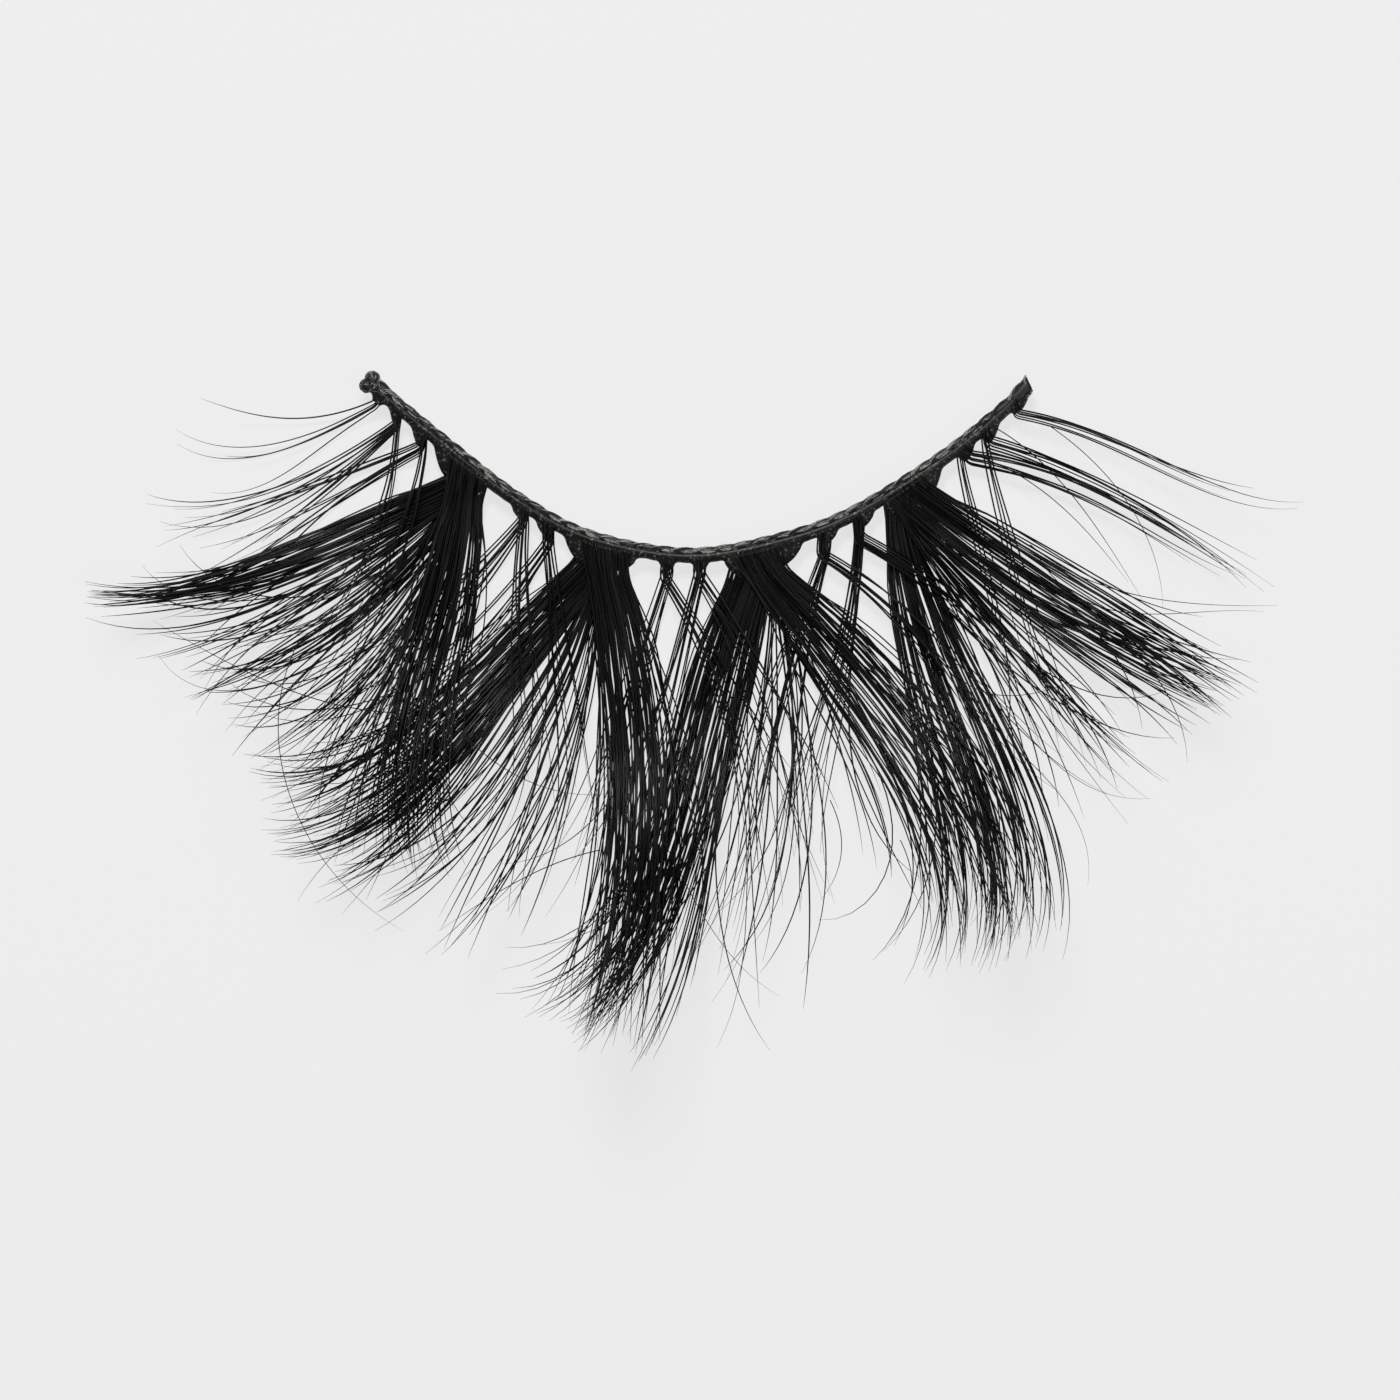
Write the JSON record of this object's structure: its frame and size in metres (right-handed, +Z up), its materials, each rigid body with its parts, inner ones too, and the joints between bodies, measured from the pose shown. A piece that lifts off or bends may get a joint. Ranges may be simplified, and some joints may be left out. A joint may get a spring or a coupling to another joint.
{
  "type": "false eyelash strip",
  "caption": "Curved false eyelash strip with a braided band, knotted tufts and long crossed lashes that curl upwards.",
  "frame": {"origin": "centre of the bounding box on the surface that the strip lies on", "axes": "+X along the band's chord towards the end with the slanted cut, +Y from the lash tips towards the band, +Z up, the way the lashes curl"},
  "size_m": [0.052, 0.0286, 0.0096],
  "materials": {
    "band_thread": "black braided cotton cord, slightly waxed",
    "bonding_glue": "dried black bonding glue, satin",
    "lash_fibre": "fine black tapered synthetic hair with a soft gloss"
  },
  "bodies": {
    "root": {"band_cord": "band_thread", "bonding_strip": "bonding_glue", "tuft_01": "lash_fibre", "tuft_02": "lash_fibre", "tuft_03": "lash_fibre", "tuft_04": "lash_fibre", "tuft_05": "lash_fibre", "tuft_06": "lash_fibre", "tuft_07": "lash_fibre", "tuft_08": "lash_fibre", "tuft_09": "lash_fibre", "tuft_10": "lash_fibre", "tuft_11": "lash_fibre", "tuft_12": "lash_fibre", "tuft_13": "lash_fibre", "tuft_14": "lash_fibre", "tuft_15": "lash_fibre", "tuft_16": "lash_fibre"}
  },
  "joints": []
}
